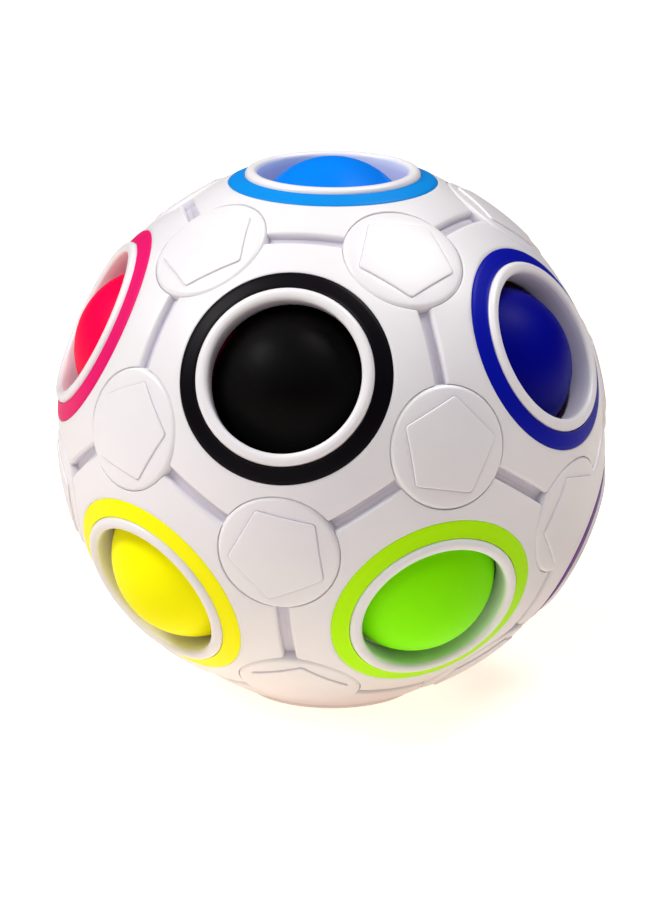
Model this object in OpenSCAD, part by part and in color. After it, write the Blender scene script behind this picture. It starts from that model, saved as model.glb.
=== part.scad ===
// Colour-matching ball puzzle: a hollow ball with twelve round holes, eleven coloured balls
// and one empty hole. A finger presses a ball in and rolls it under the wall to the empty hole.
// The ball stands on the lip of its empty hole. Origin: on the table, below the centre. +Z up.

/* [Shell] */
// Radius of the sphere that the tops of the corner caps lie on
cap_sphere_r = 35.3; // [34.9:0.1:35.4]
// Radius of the dome of each panel, which is a little rounder than the whole ball
dome_r = 30.8; // [30.7:0.05:30.95]
// How far the centre of that dome lies out along the panel's own axis
dome_shift = 5; // [4.9:0.05:5.1]
// Inner radius of the shell
inner_r = 30.6; // [30.4:0.1:30.8]
// Width of the groove between two panels
groove_w = 1.5; // [0.8:0.1:2]
// Radius of the sphere that the groove floors lie on
groove_floor_r = 33.95; // [33.7:0.05:34.2]
// Gap between two panels under the groove floor
seam_gap = 0.06; // [0.04:0.01:0.12]

/* [Hole and lip] */
// Height of the lip's flat rim above the centre of the ball
lip_h = 34.4; // [34.2:0.1:34.8]
// Outer radius of the lip
lip_r = 11.2; // [11.1:0.05:11.25]
// Radius of the hole at its lip
mouth_r = 9.65; // [9.6:0.05:9.7]
// Radius of the hole at the seat that holds a ball in
seat_r = 9.6; // [9.55:0.05:9.6]
// Height of that seat above the centre of the ball
seat_h = 30.9; // [30.9:0.05:31]
// Rounding on the inside of the lip
lip_flare = 0.6; // [0.4:0.1:0.6]
// Rounding on the outside of the lip
lip_fillet = 0.7; // [0.4:0.05:0.7]

/* [Coloured ring] */
// Inner radius of the coloured ring
ring_in_r = 11.25; // [11.25:0.05:11.4]
// Outer radius of the coloured ring
ring_out_r = 13.35; // [12.8:0.05:13.5]
// Height of the ring's seat above the centre of the ball
ring_seat_h = 31.6; // [31.4:0.1:32]
// How far the ring stands above the panel around it
ring_proud = 0.06; // [0:0.02:0.3]
// Gap round the ring in its recess
ring_gap = 0.05; // [0.02:0.01:0.1]

/* [Balls and core] */
// Radius of a coloured ball
ball_r = 10.5; // [10.4:0.05:10.5]
// From the centre of the puzzle to the centre of a ball that lies on the core in an upper hole
upper_ball_h = 25.35; // [25.2:0.05:25.5]
// From the centre of the puzzle to the centre of a ball that hangs on its seat in a lower hole
lower_ball_h = 26.5; // [26.4:0.05:26.5]
// Gap between the soft core and a ball in an upper hole
core_gap = 0.1; // [0.05:0.05:0.4]

/* [Corner caps and screws] */
// Radius of a corner cap
cap_r = 7.7; // [7:0.1:7.8]
// Gap round the cap in its recess
cap_gap = 0.12; // [0.05:0.01:0.2]
// Height of the cap's seat above the centre of the ball
cap_seat_h = 33.3; // [33.2:0.05:33.4]
// Bevel round the top of the cap
cap_bevel = 0.4; // [0.2:0.05:0.5]
// Distance from the middle of the cap to a corner of the raised five-sided plate on it
pentagon_r = 6.45; // [5:0.05:6.6]
// How far that plate stands above the rest of the cap
pentagon_rise = 0.2; // [0.1:0.05:0.3]
// Radius of the screw's head
head_r = 2; // [1.8:0.1:2.1]
// Thickness of the screw's head
head_t = 0.8; // [0.7:0.05:0.85]
// Radius of the screw's shank
shank_r = 1; // [0.8:0.05:1.05]
// Radius of the corner nut
nut_r = 3.5; // [3:0.1:3.5]
// Thickness of the corner nut
nut_t = 0.95; // [0.8:0.05:1]

/* [Hidden] */
$fn = 96;

// Angles of a regular dodecahedron
face_to_face = acos(1 / sqrt(5));
face_to_edge = face_to_face / 2;
face_to_corner = acos(sqrt((5 + 2 * sqrt(5)) / 15));
upper_corner = face_to_corner + acos(sqrt(5) / 3);
fifth = 360 / 5;
big = 100;

head_seat_h = cap_seat_h - 0.9;
nut_seat_h = 31.5;
core_r = upper_ball_h - ball_r - core_gap;

// One row for each hole: name, azimuth, angle from +Z, turn that points local +X at a neighbour, colour
FACES = [
    ["sky_blue", 0, 0, 54, [0.02, 0.57, 0.83]],
    ["black", 270, face_to_face, 36, [0.02, 0.02, 0.02]],
    ["dark_blue", 342, face_to_face, 36, [0.02, 0.03, 0.55]],
    ["orange", 54, face_to_face, 36, [1, 0.42, 0.02]],
    ["green", 126, face_to_face, 36, [0.02, 0.45, 0.16]],
    ["crimson", 198, face_to_face, 36, [0.85, 0.02, 0.2]],
    ["lime", 306, 180 - face_to_face, 0, [0.5, 0.95, 0]],
    ["purple", 18, 180 - face_to_face, 0, [0.4, 0.05, 0.5]],
    ["brown", 90, 180 - face_to_face, 0, [0.36, 0.18, 0.08]],
    ["pink", 162, 180 - face_to_face, 0, [0.98, 0.45, 0.65]],
    ["yellow", 234, 180 - face_to_face, 0, [1, 0.95, 0]],
    ["white", 0, 180, 18, [0.93, 0.93, 0.93]]
];
BALLS = [for (f = FACES) if (f[0] != "white") f];

// Four rows of five corners: name, first azimuth, angle from +Z
CORNER_ROWS = [
    ["top", 306, face_to_corner],
    ["upper", 306, upper_corner],
    ["lower", 270, 180 - upper_corner],
    ["bottom", 270, 180 - face_to_corner]
];
// Each cap was pressed in with one corner of its plate pointing at one of the three holes round it:
// the angle to that hole, row by row
CAP_TURNS = [
    [60, 180, 60, 300, 300],
    [240, 0, 120, 0, 240],
    [60, 60, 180, 300, 180],
    [240, 120, 0, 120, 240]
];

// Points of an arc about [x, y], from angle a to angle b
function arc(x, y, r, a, b, steps = 5) =
    [for (i = [0:steps]) let (t = a + (b - a) * i / steps) [x + r * cos(t), y + r * sin(t)]];

// Places its children with +Z out along a face axis, from the centre of the puzzle
module on_face(f) {
    translate([0, 0, lip_h])
        rotate([0, f[2], f[1]])
            rotate([0, 0, f[3]])
                children();
}

// Places its children with +Z out along a corner axis, from the centre of the puzzle
module on_corner(row, i) {
    translate([0, 0, lip_h])
        rotate([0, row[2], row[1] + fifth * i])
            children();
}

// Everything beyond the plane between a panel and its neighbour, less a margin on the panel's side
module beyond_edge(k, margin) {
    rotate([0, 0, fifth * k])
        rotate([0, face_to_edge, 0])
            translate([-margin, -big / 2, -big / 2])
                cube(big);
}

// The lip round the hole, solid down to the inside of the shell
module lip() {
    rotate_extrude()
        polygon(concat(
            [[0, inner_r - 4], [lip_r, inner_r - 4]],
            arc(lip_r - lip_fillet, lip_h - lip_fillet, lip_fillet, 0, 90),
            [[0, lip_h]]
        ));
}

// The hole: wide inside the shell, narrowest at its seat, flared at its lip
module hole() {
    rotate_extrude()
        polygon(concat(
            [[0, seat_h - 3], [seat_r + 2.4, seat_h - 3], [seat_r, seat_h]],
            arc(mouth_r + lip_flare, lip_h - lip_flare, lip_flare, 180, 90),
            [[mouth_r + lip_flare, lip_h + 2], [0, lip_h + 2]]
        ));
}

// The stepped recess at a corner, for a cap, a screw head, a shank and a nut
module corner_recess() {
    rotate_extrude()
        polygon([
            [0, inner_r - 2],
            [nut_r + 0.1, inner_r - 2],
            [nut_r + 0.1, nut_seat_h],
            [shank_r + 0.15, nut_seat_h],
            [shank_r + 0.15, head_seat_h],
            [head_r + 0.15, head_seat_h],
            [head_r + 0.15, cap_seat_h],
            [cap_r + cap_gap, cap_seat_h],
            [cap_r + cap_gap, cap_sphere_r + 3],
            [0, cap_sphere_r + 3]
        ]);
}

// One of the twelve five-sided panels, which is moulded with its lip and hole
module panel(f) {
    color("white") on_face(f) difference() {
        union() {
            difference() {
                translate([0, 0, dome_shift]) sphere(dome_r);
                for (k = [0:4]) beyond_edge(k, seam_gap / 2);
                difference() {
                    for (k = [0:4]) beyond_edge(k, groove_w / 2);
                    sphere(groove_floor_r);
                }
            }
            lip();
        }
        sphere(inner_r);
        hole();
        translate([0, 0, ring_seat_h]) difference() {
            cylinder(r = ring_out_r + ring_gap, h = 5);
            translate([0, 0, -1]) cylinder(r = lip_r, h = 7);
        }
        for (k = [0:4]) rotate([0, 0, 36 + fifth * k]) rotate([0, face_to_corner, 0]) corner_recess();
    }
}

// A coloured ring, pressed into the recess round a lip
module ring(f) {
    color(f[4]) on_face(f) intersection() {
        translate([0, 0, dome_shift]) sphere(dome_r + ring_proud);
        translate([0, 0, ring_seat_h]) difference() {
            cylinder(r = ring_out_r, h = 5);
            translate([0, 0, -1]) cylinder(r = ring_in_r, h = 7);
        }
    }
}

// A coloured ball in its home hole: on the core in the upper half, on the seat in the lower half
module coloured_ball(f) {
    color(f[4]) on_face(f) translate([0, 0, f[2] < 90 ? upper_ball_h : lower_ball_h]) sphere(ball_r);
}

// A corner cap, which hides the screw: a bevelled disc with a raised five-sided plate on its top
module cap(row, i) {
    edge_h = sqrt(cap_sphere_r * cap_sphere_r - cap_r * cap_r);
    color("ghostwhite") on_corner(CORNER_ROWS[row], i) union() {
        intersection() {
            sphere(cap_sphere_r);
            rotate_extrude()
                polygon([
                    [0, cap_seat_h],
                    [cap_r, cap_seat_h],
                    [cap_r, edge_h - cap_bevel],
                    [cap_r - cap_bevel, edge_h + 0.1],
                    [cap_r - cap_bevel, cap_sphere_r + 1],
                    [0, cap_sphere_r + 1]
                ]);
        }
        intersection() {
            sphere(cap_sphere_r + pentagon_rise);
            rotate([0, 0, CAP_TURNS[row][i]])
                translate([0, 0, cap_seat_h + 0.5])
                    cylinder(r = pentagon_r, h = 3, $fn = 5);
        }
    }
}

// The soft core that pushes every ball out against its seat
module core() {
    color("dimgray") translate([0, 0, lip_h]) sphere(core_r);
}

// Twenty pan-head screws with a cross recess, one under each cap
module corner_screws() {
    slot_w = 0.5;
    slot_l = 2.2;
    slot_d = 0.45;
    color("silver") for (row = CORNER_ROWS) for (i = [0:4]) on_corner(row, i) difference() {
        union() {
            translate([0, 0, head_seat_h]) cylinder(r = head_r, h = head_t);
            translate([0, 0, nut_seat_h - nut_t]) cylinder(r = shank_r, h = head_seat_h - nut_seat_h + nut_t);
        }
        for (a = [0, 90])
            rotate([0, 0, a])
                translate([-slot_l / 2, -slot_w / 2, head_seat_h + head_t - slot_d])
                    cube([slot_l, slot_w, 1]);
    }
}

// Twenty round nuts inside the shell, each clamping the corners of three panels
module corner_nuts() {
    color("gray") for (row = CORNER_ROWS) for (i = [0:4]) on_corner(row, i)
        translate([0, 0, nut_seat_h - nut_t]) difference() {
            cylinder(r = nut_r, h = nut_t);
            translate([0, 0, -1]) cylinder(r = shank_r, h = nut_t + 2);
        }
}

for (f = FACES) panel(f);
for (f = FACES) ring(f);
for (f = BALLS) coloured_ball(f);
for (row = [0:3]) for (i = [0:4])
    cap(row, i);
core();
corner_screws();
corner_nuts();
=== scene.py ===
import math

import bpy
import numpy as np
from mathutils import Matrix, Vector


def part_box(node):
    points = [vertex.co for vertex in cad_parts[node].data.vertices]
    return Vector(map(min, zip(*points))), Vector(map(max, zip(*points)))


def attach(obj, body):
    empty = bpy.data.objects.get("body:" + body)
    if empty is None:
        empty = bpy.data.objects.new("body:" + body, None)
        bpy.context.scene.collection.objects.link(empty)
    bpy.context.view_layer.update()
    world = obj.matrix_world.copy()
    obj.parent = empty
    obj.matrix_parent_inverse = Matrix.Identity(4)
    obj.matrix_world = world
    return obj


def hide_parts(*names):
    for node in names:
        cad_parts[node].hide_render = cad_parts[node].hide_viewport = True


# ---------------------------------------------------------------------------------------------
# The puzzle stands on the lip of its empty hole. The frame gives the height of the top lip, and
# the centre of the puzzle is half way up to it. Shape sizes below are in millimetres.
# ---------------------------------------------------------------------------------------------
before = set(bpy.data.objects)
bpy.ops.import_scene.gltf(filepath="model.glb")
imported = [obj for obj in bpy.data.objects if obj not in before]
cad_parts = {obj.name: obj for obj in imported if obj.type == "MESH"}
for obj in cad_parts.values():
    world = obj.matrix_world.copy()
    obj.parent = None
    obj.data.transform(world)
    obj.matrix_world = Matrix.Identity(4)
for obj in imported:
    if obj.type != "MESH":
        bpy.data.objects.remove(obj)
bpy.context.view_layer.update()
MM = 0.001
lip_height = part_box("panel_sky_blue")[1].z / 2 / MM
centre = np.array([0.0, 0.0, lip_height])

# ---------------------------------------------------------------------------------------------
# Camera. A long lens, a little above the puzzle and a little to the right of the black hole.
# ---------------------------------------------------------------------------------------------
camera_azimuth = math.radians(281.13)
camera_height_angle = math.radians(15.9)
camera_roll = math.radians(0.19)
camera_distance = 682.7
aim_right = -0.26
aim_up = -2.69

toward_camera = Vector((
    math.cos(camera_height_angle) * math.cos(camera_azimuth),
    math.cos(camera_height_angle) * math.sin(camera_azimuth),
    math.sin(camera_height_angle),
))
level_right = Vector((0, 0, 1)).cross(toward_camera).normalized()
level_up = toward_camera.cross(level_right)
image_right = level_right * math.cos(camera_roll) + level_up * math.sin(camera_roll)
image_up = level_up * math.cos(camera_roll) - level_right * math.sin(camera_roll)

camera_data = bpy.data.cameras.new("camera")
camera_data.lens = 211.8
camera_data.sensor_width = 36
camera_data.clip_end = 20
camera = bpy.data.objects.new("camera", camera_data)
bpy.context.scene.collection.objects.link(camera)
eye = (Vector(centre) + toward_camera * camera_distance) * MM
aim = (Vector(centre) + image_right * aim_right + image_up * aim_up) * MM
back = (eye - aim).normalized()
right = image_up.cross(back).normalized()
turned = Matrix((right, back.cross(right), back)).transposed().to_4x4()
camera.matrix_world = Matrix.Translation(eye) @ turned
bpy.context.scene.camera = camera
bpy.context.scene.view_settings.view_transform = "Standard"

# ---------------------------------------------------------------------------------------------
# Studio light. A large soft box up on the left and one overhead give the two broad highlights on
# each ball. Two more in front only fill the shadows, and are left out of reflections.
# ---------------------------------------------------------------------------------------------


def soft_box(name, aim, distance, width, power, colour, glossy):
    """A round area light, distance metres from the puzzle and facing it. aim is a direction along the
    picture's right, its up and towards the viewer."""
    data = bpy.data.lights.new(name, "AREA")
    data.shape = "DISK"
    data.size = width
    data.energy = power
    data.color = colour
    light = bpy.data.objects.new(name, data)
    bpy.context.scene.collection.objects.link(light)
    offset = (image_right * aim[0] + image_up * aim[1] + toward_camera * aim[2]).normalized() * distance
    light.location = Vector(centre) * MM + offset
    light.rotation_euler = offset.to_track_quat("Z", "Y").to_euler()
    light.visible_glossy = glossy


soft_box("key_light", (-0.66, 0.68, 0.31), 0.95, 0.42, 6.0, (1.0, 0.97, 0.955), True)
soft_box("top_light", (0.42, 0.90, 0.13), 0.95, 0.42, 5.0, (1.0, 0.97, 0.94), True)
soft_box("front_fill", (0.0, 0.6, 0.8), 0.95, 0.60, 2.4, (0.95, 0.94, 1.0), False)
soft_box("left_fill", (-0.7, 0.25, 0.7), 0.95, 0.60, 1.1, (1.0, 1.0, 0.95), False)

world = bpy.data.worlds.new("studio")
bpy.context.scene.world = world
world.use_nodes = True
room = world.node_tree
room.nodes.clear()
room_out = room.nodes.new("ShaderNodeOutputWorld")
room_mix = room.nodes.new("ShaderNodeMixShader")
room_light = room.nodes.new("ShaderNodeBackground")
room_seen = room.nodes.new("ShaderNodeBackground")
room_path = room.nodes.new("ShaderNodeLightPath")
room_light.inputs["Color"].default_value = (0.92, 0.93, 1.0, 1)
room_light.inputs["Strength"].default_value = 0.03
room_seen.inputs["Color"].default_value = (1, 1, 1, 1)
room_seen.inputs["Strength"].default_value = 1.05
room.links.new(room_path.outputs["Is Camera Ray"], room_mix.inputs["Fac"])
room.links.new(room_light.outputs[0], room_mix.inputs[1])
room.links.new(room_seen.outputs[0], room_mix.inputs[2])
room.links.new(room_mix.outputs[0], room_out.inputs["Surface"])

# ---------------------------------------------------------------------------------------------
# Table. One sheet of smooth white acrylic lit from below, large enough to fill the view. It glows
# white to the camera, and sends warm light up at the puzzle, most of it from close round its foot.
# ---------------------------------------------------------------------------------------------
table_half_width = 4.0
table_mesh = bpy.data.meshes.new("table")
table_mesh.from_pydata(
    [(x * table_half_width, y * table_half_width, 0) for x, y in ((-1, -1), (1, -1), (1, 1), (-1, 1))],
    [],
    [(0, 1, 2, 3)],
)
table = bpy.data.objects.new("table", table_mesh)
bpy.context.scene.collection.objects.link(table)
acrylic = bpy.data.materials.new("white_acrylic")
acrylic.use_nodes = True
acrylic_nodes, acrylic_links = acrylic.node_tree.nodes, acrylic.node_tree.links
acrylic_shader = acrylic_nodes["Principled BSDF"]
acrylic_shader.inputs["Roughness"].default_value = 0.3
acrylic_shader.inputs["Specular IOR Level"].default_value = 0.4
acrylic_shader.inputs["Emission Strength"].default_value = 1
acrylic_noise = acrylic_nodes.new("ShaderNodeTexNoise")
acrylic_place = acrylic_nodes.new("ShaderNodeTexCoord")
acrylic_tint = acrylic_nodes.new("ShaderNodeMix")
acrylic_glow = acrylic_nodes.new("ShaderNodeMix")
acrylic_path = acrylic_nodes.new("ShaderNodeLightPath")
acrylic_reach = acrylic_nodes.new("ShaderNodeVectorMath")
acrylic_near = acrylic_nodes.new("ShaderNodeMapRange")
acrylic_foot = acrylic_nodes.new("ShaderNodeMix")
acrylic_reach.operation = "LENGTH"
acrylic_near.interpolation_type = "SMOOTHSTEP"
acrylic_near.inputs["From Min"].default_value = 0.060
acrylic_near.inputs["From Max"].default_value = 0.015
acrylic_tint.data_type = acrylic_glow.data_type = acrylic_foot.data_type = "RGBA"
acrylic_foot.inputs["A"].default_value = (0.08, 0.03, 0.01, 1)
acrylic_foot.inputs["B"].default_value = (0.50, 0.38, 0.30, 1)
acrylic_noise.inputs["Scale"].default_value = 9
acrylic_tint.inputs["A"].default_value = (0.93, 0.89, 0.85, 1)
acrylic_tint.inputs["B"].default_value = (0.95, 0.91, 0.87, 1)
acrylic_glow.inputs["B"].default_value = (0.68, 0.64, 0.53, 1)
acrylic_links.new(acrylic_place.outputs["Object"], acrylic_noise.inputs["Vector"])
acrylic_links.new(acrylic_noise.outputs["Fac"], acrylic_tint.inputs["Factor"])
acrylic_links.new(acrylic_place.outputs["Object"], acrylic_reach.inputs[0])
acrylic_links.new(acrylic_reach.outputs["Value"], acrylic_near.inputs["Value"])
acrylic_links.new(acrylic_near.outputs["Result"], acrylic_foot.inputs["Factor"])
acrylic_links.new(acrylic_foot.outputs["Result"], acrylic_glow.inputs["A"])
acrylic_links.new(acrylic_path.outputs["Is Camera Ray"], acrylic_glow.inputs["Factor"])
acrylic_links.new(acrylic_tint.outputs["Result"], acrylic_shader.inputs["Base Color"])
acrylic_links.new(acrylic_glow.outputs["Result"], acrylic_shader.inputs["Emission Color"])
table_mesh.materials.append(acrylic)

# ---------------------------------------------------------------------------------------------
# Panels. Twelve five-sided shells, injection moulded in white ABS. Each is one moulding with its
# raised lip, its hole and its ball seat, and meets its neighbours in a stepped, rounded groove.
# ---------------------------------------------------------------------------------------------
face_to_face = math.acos(1 / math.sqrt(5))
face_to_edge = face_to_face / 2
face_to_corner = math.acos(math.sqrt((5 + 2 * math.sqrt(5)) / 15))
half_fifth = math.pi / 5

dome_radius = 30.8
dome_shift = 5.0
inner_radius = 30.6
groove_width = 1.55
groove_floor_radius = 33.95
groove_rounding = 0.40
seam_gap = 0.02
seam_step_radius = 32.5
lip_outer = 11.2
lip_flare = 0.6
lip_fillet = 0.75
lip_foot_height = 33.3
mouth_radius = 9.65
mouth_wall = [[9.7, 31.9], [9.69, 32.9]]
seat_radius = 9.7
seat_height = 30.9
seat_rounding = 0.1
bore_radius = 11.7
bore_top = [10.6, 29.65]
ring_recess_radius = 13.4
ring_recess_rounding = 0.08
ring_recess_wall_height = 32.35
ring_recess_rim_height = 32.75
ring_seat_height = 31.6
cap_recess_radius = 7.8
cap_recess_rounding = 0.08
cap_seat_height = 33.3
cap_ledge_radius = 33.40
cap_ledge_width = 0.3
screw_hole_radius = 2.3

# Hole name: (azimuth, angle from straight up)
holes = {
    "sky_blue": (0, 0),
    "black": (270, face_to_face),
    "dark_blue": (342, face_to_face),
    "orange": (54, face_to_face),
    "green": (126, face_to_face),
    "crimson": (198, face_to_face),
    "lime": (306, math.pi - face_to_face),
    "purple": (18, math.pi - face_to_face),
    "brown": (90, math.pi - face_to_face),
    "pink": (162, math.pi - face_to_face),
    "yellow": (234, math.pi - face_to_face),
    "white": (0, math.pi),
}


def direction(azimuth, polar):
    """The unit vector at an azimuth in degrees and an angle in radians from straight up."""
    a = math.radians(azimuth)
    return np.array([math.sin(polar) * math.cos(a), math.sin(polar) * math.sin(a), math.cos(polar)])


axes = {name: direction(*place) for name, place in holes.items()}


def hole_frame(name):
    """Rows are local X, Y and Z: Z is the hole's axis, and X leans towards one neighbouring hole."""
    z = axes[name]
    neighbour = next(v for v in axes.values() if 0.4 < v @ z < 0.5)
    x = neighbour - (neighbour @ z) * z
    x /= np.linalg.norm(x)
    return np.array([x, np.cross(z, x), z])


def arc(x, y, radius, start, end, steps):
    """Points (x + radius cos t, y + radius sin t) for t from start to end, in degrees."""
    t = np.radians(np.linspace(start, end, steps))
    return np.stack([x + radius * np.cos(t), y + radius * np.sin(t)], -1)


sharp_edge = math.radians(40)


def grid_object(name, points, material, loop_rows=False, pole_first=None, pole_last=None, painted_shade_marks=None):
    """A mesh from a (rows, columns, 3) grid in millimetres. Columns always close on themselves. Rows close
    if loop_rows, or end in a pole point with a fan of triangles. The optional last argument is a (rows,
    columns) share of painted shade that each vertex keeps, to darken the hollows and crevices."""
    rows, columns = points.shape[:2]
    index = np.arange(rows * columns).reshape(rows, columns)
    below = np.roll(index, -1, 0) if loop_rows else index[1:]
    above = index if loop_rows else index[:-1]
    quads = np.stack([above, np.roll(above, -1, 1), np.roll(below, -1, 1), below], -1).reshape(-1, 4)
    corners = [points.reshape(-1, 3)]
    fans = []
    count = rows * columns
    if pole_first is not None:
        corners.append(np.asarray(pole_first, float)[None])
        fans.append(np.stack([np.full(columns, count), np.roll(index[0], -1), index[0]], -1))
        count += 1
    if pole_last is not None:
        corners.append(np.asarray(pole_last, float)[None])
        fans.append(np.stack([np.full(columns, count), index[-1], np.roll(index[-1], -1)], -1))
        count += 1
    fans = np.concatenate(fans) if fans else np.zeros((0, 3), int)
    vertices = np.concatenate(corners) * MM
    mesh = bpy.data.meshes.new(name)
    mesh.vertices.add(count)
    mesh.vertices.foreach_set("co", vertices.astype(np.float32).ravel())
    loops = np.concatenate([quads.ravel(), fans.ravel()]).astype(np.int32)
    starts = np.concatenate([np.arange(len(quads)) * 4, len(quads) * 4 + np.arange(len(fans)) * 3])
    mesh.loops.add(len(loops))
    mesh.loops.foreach_set("vertex_index", loops)
    mesh.polygons.add(len(starts))
    mesh.polygons.foreach_set("loop_start", starts.astype(np.int32))
    mesh.update(calc_edges=True)
    mesh.validate()
    mesh.shade_smooth()
    mesh.set_sharp_from_angle(angle=sharp_edge)
    # Each vertex keeps its share of painted shade as a point attribute, which the material reads.
    if painted_shade_marks is not None:
        values = np.zeros(count, np.float32)
        values[: rows * columns] = painted_shade_marks.ravel()
        mesh.attributes.new("hollow", "FLOAT", "POINT").data.foreach_set("value", values)
    mesh.materials.append(material)
    piece = bpy.data.objects.new(name, mesh)
    bpy.context.scene.collection.objects.link(piece)
    return piece


def dome_at(theta):
    """Distance from the puzzle's centre to the dome, whose own centre lies dome_shift out along the axis:
    d cos(theta) + sqrt(r^2 - d^2 sin^2(theta))."""
    return dome_shift * np.cos(theta) + np.sqrt(dome_radius**2 - (dome_shift * np.sin(theta)) ** 2)


def ray(theta, phi):
    """Unit vector at angle theta from the panel's axis and angle phi round it."""
    theta, phi = np.broadcast_arrays(theta, phi)
    return np.stack([np.sin(theta) * np.cos(phi), np.sin(theta) * np.sin(phi), np.cos(theta)], -1)


def folded(phi):
    """The panel repeats ten times round its axis, so phi is folded into the first tenth."""
    return np.abs((phi + half_fifth) % (2 * half_fifth) - half_fifth)


corner_axis = ray(face_to_corner, half_fifth)
edge_inward = np.array([-math.cos(face_to_edge), 0, math.sin(face_to_edge)])


def from_corner(p):
    """Distance of a point from the nearest corner axis."""
    along = p @ corner_axis
    return np.linalg.norm(p - along[..., None] * corner_axis, axis=-1)


def rim_distances(theta, phi):
    """Distances inside the panel's rim on the dome: from the groove's wall, and from the cap's recess."""
    p = dome_at(theta)[..., None] * ray(theta, folded(phi))
    return p @ edge_inward - groove_width / 2, from_corner(p) - cap_recess_radius


def from_rim(theta, phi):
    """The smaller of the two distances inside the rim, each as a share of its own rounding."""
    groove, recess = rim_distances(theta, phi)
    return np.minimum(groove / groove_rounding, recess / cap_recess_rounding)


def rim_drop(theta, phi):
    """How far the rounded rim lies below the dome: at distance d inside each edge, whose rounding is r,
    it is r - sqrt(r^2 - (r - d)^2)."""
    drops = []
    for distance, r in zip(rim_distances(theta, phi), (groove_rounding, cap_recess_rounding)):
        short = np.clip(r - distance, 0, r)
        drops.append(r - np.sqrt(r**2 - short**2))
    return np.maximum(*drops)


def from_seam(theta, phi):
    """Distance inside the panel's outermost boundary: the seam with its neighbour, or the screw's hole."""
    p = dome_at(theta)[..., None] * ray(theta, folded(phi))
    return np.minimum(p @ edge_inward - seam_gap / 2, from_corner(p) - screw_hole_radius)


inside_every_rim = math.radians(22.3)


def meeting_angle(distance, level, phi):
    """The angle from the axis at which distance falls to level along each meridian, found by halving."""
    low = np.full(phi.shape, inside_every_rim)
    high = np.full(phi.shape, face_to_corner)
    for _ in range(40):
        middle = (low + high) / 2
        inside = distance(middle, phi) > level
        low = np.where(inside, middle, low)
        high = np.where(inside, high, middle)
    return (low + high) / 2


# Meridians are spaced by their steps along the rim, so the corners of the rim get enough of them. The
# turn round the axis counts too, at even_share millimetres for each radian.
even_share = 8
fine = np.linspace(0, half_fifth, 3000)
fine_rim = meeting_angle(from_rim, 0, fine)
fine_points = dome_at(fine_rim)[:, None] * ray(fine_rim, fine)
fine_steps = np.linalg.norm(np.diff(fine_points, axis=0), axis=1) + even_share * np.diff(fine)
fine_length = np.concatenate([[0], np.cumsum(fine_steps)])
tenth = np.interp(np.linspace(0, fine_length[-1], 45), fine_length, fine)
fifth = np.concatenate([tenth[:-1], 2 * half_fifth - tenth[::-1][:-1]])
panel_phi = (fifth + 2 * half_fifth * np.arange(5)[:, None]).ravel()

# Rows of the panel, each as a distance from the puzzle's centre, an angle from the panel's axis, and a
# share of painted shade for the place.
rows = []


def add_row(radius, theta, hollow):
    rows.append([np.broadcast_to(v, panel_phi.shape).astype(float) for v in (radius, theta, hollow)])


hole_profile = np.concatenate([
    [[bore_radius, math.sqrt(inner_radius**2 - bore_radius**2)], bore_top],
    arc(seat_radius + seat_rounding, seat_height + 0.02, seat_rounding, 220, 180, 3),
    mouth_wall,
    arc(mouth_radius + lip_flare, lip_height - lip_flare, lip_flare, 180, 90, 9),
    arc(lip_outer - lip_fillet, lip_height - lip_fillet, lip_fillet, 90, 0, 9),
    [[lip_outer, lip_foot_height], [lip_outer, ring_seat_height]],
    [[ring_recess_radius, ring_seat_height], [ring_recess_radius, ring_recess_wall_height]],
])
# Painted shade by height on the hole's profile: full below the first height, fading to none at the second.
shade_full_height, shade_end_height = 32.6, 33.9
hole_hollow = np.interp(hole_profile[:, 1], [shade_full_height, shade_end_height], [1, 0])
for (r, h), hollow in zip(hole_profile, hole_hollow):
    add_row(math.hypot(r, h), math.atan2(r, h), hollow)

recess_edge = math.atan2(ring_recess_radius + ring_recess_rounding, ring_recess_rim_height)
recess_brink = recess_edge - 0.0022
rounded = meeting_angle(from_rim, 1, panel_phi)
# Painted shade, a little at the brink of the ring's recess and on the rim's rounding, more down the
# groove's walls and on its floor, and full on the seam and the inside.
add_row(dome_at(recess_brink) - 0.06, recess_brink, 0.4)
for t in np.linspace(0, 1, 10):
    theta = recess_edge + (rounded - recess_edge) * t
    add_row(dome_at(theta) - rim_drop(theta, panel_phi), theta, 0)
for turn in np.radians(np.linspace(12, 90, 8)):
    theta = meeting_angle(from_rim, 1 - math.sin(turn), panel_phi)
    add_row(dome_at(theta) - rim_drop(theta, panel_phi), theta, 0.1)

rim = meeting_angle(from_rim, 0, panel_phi)
seam = np.maximum(meeting_angle(from_seam, 0, panel_phi), rim + 0.002)


def floor_level(theta):
    """Radius of the groove's floor, or of the ledge round the cap's seat inside its recess."""
    p = dome_at(theta)[:, None] * ray(theta, folded(panel_phi))
    in_groove = from_corner(p) > cap_recess_radius - cap_ledge_width
    return np.where(in_groove, groove_floor_radius, cap_ledge_radius)


rim_top = dome_at(rim) - rim_drop(rim, panel_phi)
for share in (0.4, 0.75, 0.93):
    add_row(rim_top + (floor_level(rim) - rim_top) * share, rim, 0.3 + 0.5 * share)
for t in (0.02, 0.08, 0.3, 0.6, 1.0):
    theta = rim + (seam - rim) * t
    add_row(floor_level(theta) + (0.03 if t < 0.05 else 0), theta, 0.85)
add_row(seam_step_radius, seam, 1)
add_row(inner_radius, seam, 1)
bore_edge = math.asin(bore_radius / inner_radius)
for t in (0.75, 0.5, 0.25):
    add_row(inner_radius, bore_edge + (seam - bore_edge) * t, 1)

row_radius, row_theta, row_hollow = (np.array(v) for v in zip(*rows))
panel_points = row_radius[..., None] * ray(row_theta, panel_phi)


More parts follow.
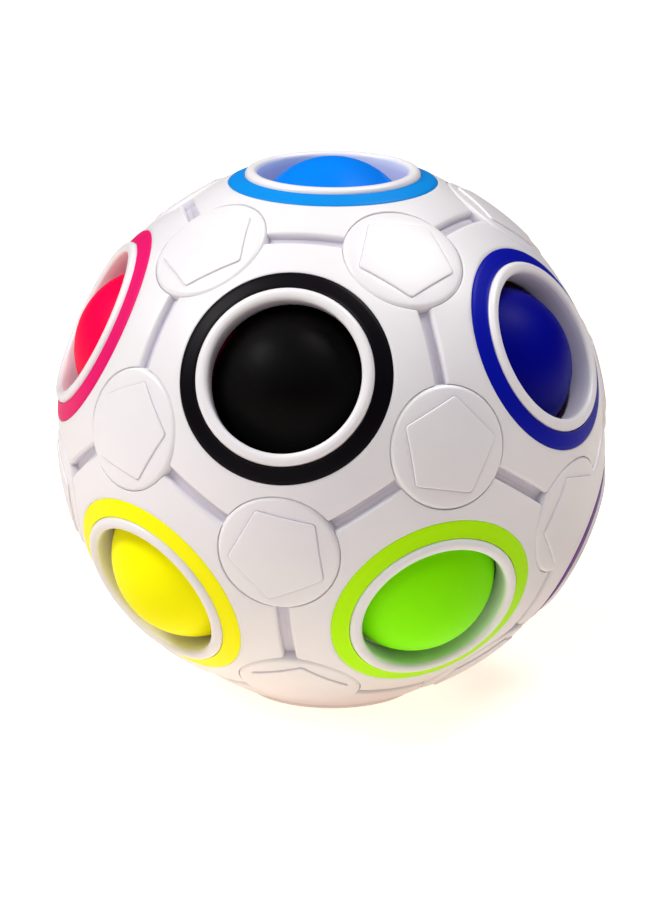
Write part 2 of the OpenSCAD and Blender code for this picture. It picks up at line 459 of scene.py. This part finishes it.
def shade_group(name):
    """A group that makes the small unevenness of a moulded plastic skin. Cloud is a broad mottling and
    Height a fine orange-peel, both from 0 to 1, each a noise on the object's own coordinates."""
    tree = bpy.data.node_groups.new(name, "ShaderNodeTree")
    for label, value in (("Cloud Scale", 60), ("Grain Scale", 900)):
        socket = tree.interface.new_socket(label, in_out="INPUT", socket_type="NodeSocketFloat")
        socket.default_value = value
    for label in ("Cloud", "Height"):
        tree.interface.new_socket(label, in_out="OUTPUT", socket_type="NodeSocketFloat")
    enter = tree.nodes.new("NodeGroupInput")
    leave = tree.nodes.new("NodeGroupOutput")
    place = tree.nodes.new("ShaderNodeTexCoord")
    for label, source, detail in (("Cloud", "Cloud Scale", 3), ("Height", "Grain Scale", 4)):
        noise = tree.nodes.new("ShaderNodeTexNoise")
        noise.inputs["Detail"].default_value = detail
        noise.inputs["Roughness"].default_value = 0.55
        tree.links.new(place.outputs["Object"], noise.inputs["Vector"])
        tree.links.new(enter.outputs[source], noise.inputs["Scale"])
        tree.links.new(noise.outputs["Fac"], leave.inputs[label])
    return tree


moulded_skin = shade_group("moulded_skin")


def plastic(name, colour, mottle_and_shade_colour, *, rough, spread, grain, grain_scale, cloud_scale, specular, soft=0.0):
    """Moulded plastic: colour goes towards the second colour in the cloudy patches, a random mottling,
    and in the painted shade that each vertex keeps for the hollows. Roughness varies by spread with the
    clouds.
    grain is the height of the fine skin in metres, and soft is the share of the light that goes into the
    plastic and comes out again near by."""
    material = bpy.data.materials.new(name)
    material.use_nodes = True
    nodes, links = material.node_tree.nodes, material.node_tree.links
    shader = nodes["Principled BSDF"]
    shader.inputs["Specular IOR Level"].default_value = specular
    if soft:
        shader.inputs["Subsurface Weight"].default_value = soft
        shader.inputs["Subsurface Radius"].default_value = (1, 0.8, 0.8)
        shader.inputs["Subsurface Scale"].default_value = 0.0012
    skin = nodes.new("ShaderNodeGroup")
    skin.node_tree = moulded_skin
    skin.inputs["Cloud Scale"].default_value = cloud_scale
    skin.inputs["Grain Scale"].default_value = grain_scale
    # Each vertex's share of painted shade, darkest in the hollows.
    hollow = nodes.new("ShaderNodeAttribute")
    hollow.attribute_name = "hollow"
    cloudy = nodes.new("ShaderNodeMapRange")
    cloudy.inputs["From Min"].default_value = 0.3
    cloudy.inputs["From Max"].default_value = 0.7
    cloudy.inputs["To Min"].default_value = 0
    cloudy.inputs["To Max"].default_value = 0.35
    # The second colour is laid on by the larger of the random mottling and the painted shade.
    mottle_and_shade_mix = nodes.new("ShaderNodeMath")
    mottle_and_shade_mix.operation = "MAXIMUM"
    tint = nodes.new("ShaderNodeMix")
    tint.data_type = "RGBA"
    tint.inputs["A"].default_value = (*colour, 1)
    tint.inputs["B"].default_value = (*mottle_and_shade_colour, 1)
    gloss = nodes.new("ShaderNodeMapRange")
    gloss.inputs["From Min"].default_value = 0.3
    gloss.inputs["From Max"].default_value = 0.7
    gloss.inputs["To Min"].default_value = rough - spread
    gloss.inputs["To Max"].default_value = rough + spread
    bump = nodes.new("ShaderNodeBump")
    bump.inputs["Distance"].default_value = grain
    bump.inputs["Strength"].default_value = 1
    links.new(skin.outputs["Cloud"], cloudy.inputs["Value"])
    links.new(cloudy.outputs["Result"], mottle_and_shade_mix.inputs[0])
    links.new(hollow.outputs["Fac"], mottle_and_shade_mix.inputs[1])
    links.new(mottle_and_shade_mix.outputs[0], tint.inputs["Factor"])
    links.new(tint.outputs["Result"], shader.inputs["Base Color"])
    links.new(skin.outputs["Cloud"], gloss.inputs["Value"])
    links.new(gloss.outputs["Result"], shader.inputs["Roughness"])
    links.new(skin.outputs["Height"], bump.inputs["Height"])
    links.new(bump.outputs["Normal"], shader.inputs["Normal"])
    return material


# Its second colour, a lavender grey, is both the random mottling and the painted shade in the grooves, the
# bore and the recesses.
white_abs = plastic(
    "white_abs",
    (0.86, 0.855, 0.865),
    (0.66, 0.63, 0.73),
    rough=0.36,
    spread=0.05,
    grain=0.000004,
    grain_scale=1400,
    cloud_scale=45,
    specular=0.5,
    soft=0.15,
)

for name in holes:
    placed = panel_points @ hole_frame(name) + centre
    panel = grid_object(f"shell_panel_{name}", placed, white_abs, loop_rows=True, painted_shade_marks=row_hollow)
    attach(panel, "shell")
    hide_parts(f"panel_{name}")

# ---------------------------------------------------------------------------------------------
# Rings. Twelve satin rings, one in the colour of each ball, pressed into the recess round a lip.
# ---------------------------------------------------------------------------------------------
ring_inner = 11.25
ring_outer = 13.35
ring_proud = 0.06
ring_rounding = 0.14
ring_shade_end_height = 32.7
ring_columns = 200

# Hole name: (colour, second colour for the random mottling and the painted shade low on the ring's sides)
ring_colours = {
    "sky_blue": ((0.004, 0.265, 0.77), (0.003, 0.215, 0.66)),
    "black": ((0.0030, 0.0022, 0.0040), (0.0055, 0.0045, 0.0070)),
    "dark_blue": ((0.002, 0.006, 0.36), (0.001, 0.004, 0.27)),
    "orange": ((0.95, 0.20, 0.002), (0.85, 0.14, 0.002)),
    "green": ((0.004, 0.23, 0.030), (0.003, 0.17, 0.022)),
    "crimson": ((0.78, 0.010, 0.15), (0.69, 0.007, 0.12)),
    "lime": ((0.50, 1.0, 0.001), (0.42, 0.94, 0.001)),
    "purple": ((0.14, 0.01, 0.28), (0.10, 0.006, 0.22)),
    "brown": ((0.11, 0.035, 0.010), (0.08, 0.024, 0.007)),
    "pink": ((0.92, 0.17, 0.36), (0.80, 0.11, 0.28)),
    "yellow": ((1.0, 0.99, 0.003), (0.97, 0.92, 0.002)),
    "white": ((0.84, 0.83, 0.85), (0.76, 0.74, 0.79)),
}


def ring_top(r):
    """Height of the ring's top: a dome concentric with the panel's, and ring_proud larger."""
    return dome_shift + math.sqrt((dome_radius + ring_proud) ** 2 - r**2)


def spun(profile, columns):
    """A profile of (radius, height) points turned once round the local Z axis."""
    phi = np.linspace(0, 2 * math.pi, columns, endpoint=False)
    r, h = profile[:, 0, None], profile[:, 1, None]
    return np.stack([r * np.cos(phi), r * np.sin(phi), h + 0 * phi], -1)


top_r = np.linspace(ring_inner + ring_rounding, ring_outer - ring_rounding, 6)
ring_profile = np.concatenate([
    [[ring_outer, ring_seat_height], [ring_inner, ring_seat_height]],
    arc(ring_inner + ring_rounding, ring_top(ring_inner) - ring_rounding, ring_rounding, 180, 110, 4),
    np.stack([top_r, [ring_top(r) for r in top_r]], -1),
    arc(ring_outer - ring_rounding, ring_top(ring_outer) - ring_rounding, ring_rounding, 60, 0, 4),
])
ring_points = spun(ring_profile, ring_columns)
# The ring's sides are painted in shade, full at the seat and fading to none towards the top.
ring_hollow = np.interp(ring_profile[:, 1], [ring_seat_height, ring_shade_end_height], [1, 0])
ring_shade_marks = np.repeat(ring_hollow[:, None], ring_columns, 1)

for name, (colour, second_colour) in ring_colours.items():
    skin = plastic(
        f"ring_{name}",
        colour,
        second_colour,
        rough=0.42,
        spread=0.06,
        grain=0.000005,
        grain_scale=1200,
        cloud_scale=70,
        specular=0.08,
    )
    placed = ring_points @ hole_frame(name) + centre
    ring = grid_object(f"colour_ring_{name}", placed, skin, loop_rows=True, painted_shade_marks=ring_shade_marks)
    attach(ring, "shell")
    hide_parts(f"ring_{name}")

# ---------------------------------------------------------------------------------------------
# Balls. Eleven solid balls, moulded in two halves and tumbled to a satin skin. A faint parting
# line runs over each one. Each rides on its own CAD body, which presses in or rolls across.
# ---------------------------------------------------------------------------------------------
ball_radius = 10.5
parting_width = 0.10
parting_depth = 0.025
first_lean = 25
next_lean = 47

# Hole name: (colour, second colour of the random cloudy mottling)
ball_colours = {
    "sky_blue": ((0.001, 0.215, 0.88), (0.001, 0.165, 0.76)),
    "black": ((0.0020, 0.0018, 0.0018), (0.0040, 0.0036, 0.0036)),
    "dark_blue": ((0.001, 0.002, 0.25), (0.001, 0.001, 0.19)),
    "orange": ((0.95, 0.18, 0.001), (0.86, 0.13, 0.001)),
    "green": ((0.003, 0.22, 0.028), (0.003, 0.16, 0.020)),
    "crimson": ((0.96, 0.001, 0.070), (0.86, 0.001, 0.052)),
    "lime": ((0.27, 1.0, 0.001), (0.21, 0.92, 0.001)),
    "purple": ((0.13, 0.01, 0.27), (0.09, 0.006, 0.20)),
    "brown": ((0.10, 0.032, 0.009), (0.075, 0.022, 0.006)),
    "pink": ((0.92, 0.16, 0.34), (0.80, 0.10, 0.26)),
    "yellow": ((1.0, 1.0, 0.001), (1.0, 0.95, 0.001)),
}

ball_theta = np.linspace(0, math.pi, 98)[1:-1]
ball_phi = np.linspace(0, 2 * math.pi, 144, endpoint=False)
parting = parting_depth * np.exp(-((ball_radius * (ball_theta - math.pi / 2) / parting_width) ** 2))
ball_points = (ball_radius - parting)[:, None, None] * ray(ball_theta[:, None], ball_phi)

for turn, name in enumerate(ball_colours):
    colour, second_colour = ball_colours[name]
    x, y, z = hole_frame(name)
    lean = math.radians(first_lean + next_lean * turn)
    pole = x * math.cos(lean) + y * math.sin(lean)
    ball_frame = np.array([z, np.cross(pole, z), pole])
    middle = np.array(sum(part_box(f"ball_{name}"), Vector())) / 2 / MM
    skin = plastic(
        f"ball_{name}",
        colour,
        second_colour,
        rough=0.46,
        spread=0.08,
        grain=0.000012,
        grain_scale=620,
        cloud_scale=130,
        specular=0.05,
    )
    ball = grid_object(
        f"colour_ball_{name}",
        ball_points @ ball_frame + middle,
        skin,
        pole_first=middle + ball_radius * pole,
        pole_last=middle - ball_radius * pole,
    )
    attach(ball, f"ball_{name}")
    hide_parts(f"ball_{name}")

# ---------------------------------------------------------------------------------------------
# Corner caps. Twenty white discs pressed in over the screws, each with a soft rounded edge and a
# raised five-sided plate. One corner of each plate points at one of the three holes round it.
# ---------------------------------------------------------------------------------------------
cap_radius = 7.7
cap_sphere = 35.3
cap_rounding = 0.50
pentagon_radius = 6.45
pentagon_rise = 0.2
pentagon_rounding = 0.12
blunt_start = 0.955
blunt_depth = 0.1225
crease_depth = 0.07
crease_width = 0.18
skirt_height = 33.0
skirt_inset = 0.35
cap_seat_inset = 0.4
cap_columns = 240

# Row name: (azimuth of the first cap, angle from straight up, angle to the chosen hole for each cap)
corner_rows = {
    "top": (306, face_to_corner, (60, 180, 60, 300, 300)),
    "upper": (306, face_to_corner + math.acos(math.sqrt(5) / 3), (240, 0, 120, 0, 240)),
    "lower": (270, math.pi - face_to_corner - math.acos(math.sqrt(5) / 3), (60, 60, 180, 300, 180)),
    "bottom": (270, math.pi - face_to_corner, (240, 120, 0, 120, 240)),
}

cap_phi = np.linspace(0, 2 * math.pi, cap_columns, endpoint=False)
from_side = (cap_phi % (2 * half_fifth)) - half_fifth
sharp_pentagon = pentagon_radius * math.cos(half_fifth) / np.cos(from_side)
near_point = np.clip((sharp_pentagon / pentagon_radius - blunt_start) / (1 - blunt_start), 0, 1)
pentagon = sharp_pentagon - blunt_depth * near_point**2


def cap_top(r, rise=0.0):
    """Height of the cap's top, on the sphere that all the caps share: sqrt((s + rise)^2 - r^2). The plate
    stands on a sphere that is larger by its rise."""
    return np.sqrt((cap_sphere + rise) ** 2 - r**2)


cap_rows = []


def add_cap_row(r, h, hollow=0.0):
    cap_rows.append([np.broadcast_to(v, cap_phi.shape).astype(float) for v in (r, h, hollow)])


# The third value of each row is its share of painted shade: some on the plate's side and on the cap's
# rounded edge, full in the crease round the plate and on the skirt.
for share in (0.25, 0.5, 0.75, 0.93):
    add_cap_row(pentagon * share, cap_top(pentagon * share, pentagon_rise))
for turn in np.radians(np.linspace(0, 90, 6)):
    r = pentagon - pentagon_rounding * (1 - math.sin(turn))
    h = cap_top(r, pentagon_rise) - pentagon_rounding * (1 - math.cos(turn))
    add_cap_row(r, h, 0.2 * math.sin(turn) ** 4)
for gap, share in ((0.01, 1), (0.06, 0.8), (0.12, 0.2), (crease_width, 0)):
    add_cap_row(pentagon + gap, cap_top(pentagon + gap) - crease_depth * share, share)
crease_end = pentagon + crease_width
for share in (0.3, 0.65):
    r = crease_end + (cap_radius - cap_rounding - crease_end) * share
    add_cap_row(r, cap_top(r))
for turn in np.radians(np.linspace(0, 90, 8)):
    r = cap_radius - cap_rounding * (1 - math.sin(turn))
    add_cap_row(r, cap_top(r) - cap_rounding * (1 - math.cos(turn)), 0.3 * math.sin(turn) ** 4)
for inset, h in ((0, skirt_height), (skirt_inset, skirt_height), (cap_seat_inset, cap_seat_height)):
    add_cap_row(cap_radius - inset, h, 1)
cap_r, cap_h, cap_shade_marks = (np.array(v) for v in zip(*cap_rows))
cap_points = np.stack([cap_r * np.cos(cap_phi), cap_r * np.sin(cap_phi), cap_h], -1)[:, ::-1]
cap_shade_marks = cap_shade_marks[:, ::-1]

for row, (first, polar, turns) in corner_rows.items():
    for number, turn in enumerate(turns):
        azimuth = first + 72 * number
        out = direction(azimuth, polar)
        down = direction(azimuth, polar + math.pi / 2)
        side = np.cross(out, down)
        t = math.radians(turn)
        cap_frame = np.array([
            down * math.cos(t) + side * math.sin(t),
            side * math.cos(t) - down * math.sin(t),
            out,
        ])
        cap = grid_object(
            f"corner_cap_{row}_{number + 1}",
            cap_points @ cap_frame + centre,
            white_abs,
            pole_first=centre + (cap_sphere + pentagon_rise) * out,
            pole_last=centre + cap_seat_height * out,
            painted_shade_marks=cap_shade_marks,
        )
        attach(cap, "shell")
        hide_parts(f"cap_{row}_{number + 1}")

# ---------------------------------------------------------------------------------------------
# Core. One soft ball of closed-cell silicone with a thin line of flash round it. The upper coloured
# balls lie on it. In the real puzzle it gives way under a pressed ball; here it is one fixed shape on the
# shell.
# ---------------------------------------------------------------------------------------------
core_low, core_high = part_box("core")
core_radius = (core_high.z - core_low.z) / 2 / MM
flash_width = 0.25
flash_height = 0.05
flash_polar = 1.2
core_theta = np.linspace(0, math.pi, 66)[1:-1]
core_phi = np.linspace(0, 2 * math.pi, 96, endpoint=False)
under_flash = flash_height * (1 - np.exp(-((core_radius * (core_theta - flash_polar) / flash_width) ** 2)))
core_points = (core_radius - under_flash)[:, None, None] * ray(core_theta[:, None], core_phi)
core_skin = plastic(
    "core_silicone",
    (0.030, 0.030, 0.032),
    (0.018, 0.018, 0.020),
    rough=0.68,
    spread=0.06,
    grain=0.00003,
    grain_scale=500,
    cloud_scale=90,
    specular=0.35,
)
core = grid_object(
    "soft_core",
    core_points + centre,
    core_skin,
    pole_first=centre + [0, 0, core_radius - flash_height],
    pole_last=centre - [0, 0, core_radius - flash_height],
)
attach(core, "shell")
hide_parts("core")

# ---------------------------------------------------------------------------------------------
# Screws and nuts. The CAD solids are shown as they are: zinc-plated pan-head screws under the
# caps, and grey nylon nuts inside the shell.
# ---------------------------------------------------------------------------------------------


def finish_node(node, material):
    """Gives a CAD node one material."""
    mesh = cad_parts[node].data
    mesh.materials.clear()
    mesh.materials.append(material)


screw_skin = plastic(
    "zinc_plate",
    (0.60, 0.61, 0.64),
    (0.48, 0.49, 0.53),
    rough=0.30,
    spread=0.10,
    grain=0.000006,
    grain_scale=1500,
    cloud_scale=500,
    specular=0.5,
)
screw_skin.node_tree.nodes["Principled BSDF"].inputs["Metallic"].default_value = 1
nut_skin = plastic(
    "grey_nylon",
    (0.34, 0.34, 0.36),
    (0.26, 0.26, 0.28),
    rough=0.5,
    spread=0.08,
    grain=0.00001,
    grain_scale=900,
    cloud_scale=200,
    specular=0.4,
)
finish_node("corner_screws", screw_skin)
finish_node("corner_nuts", nut_skin)
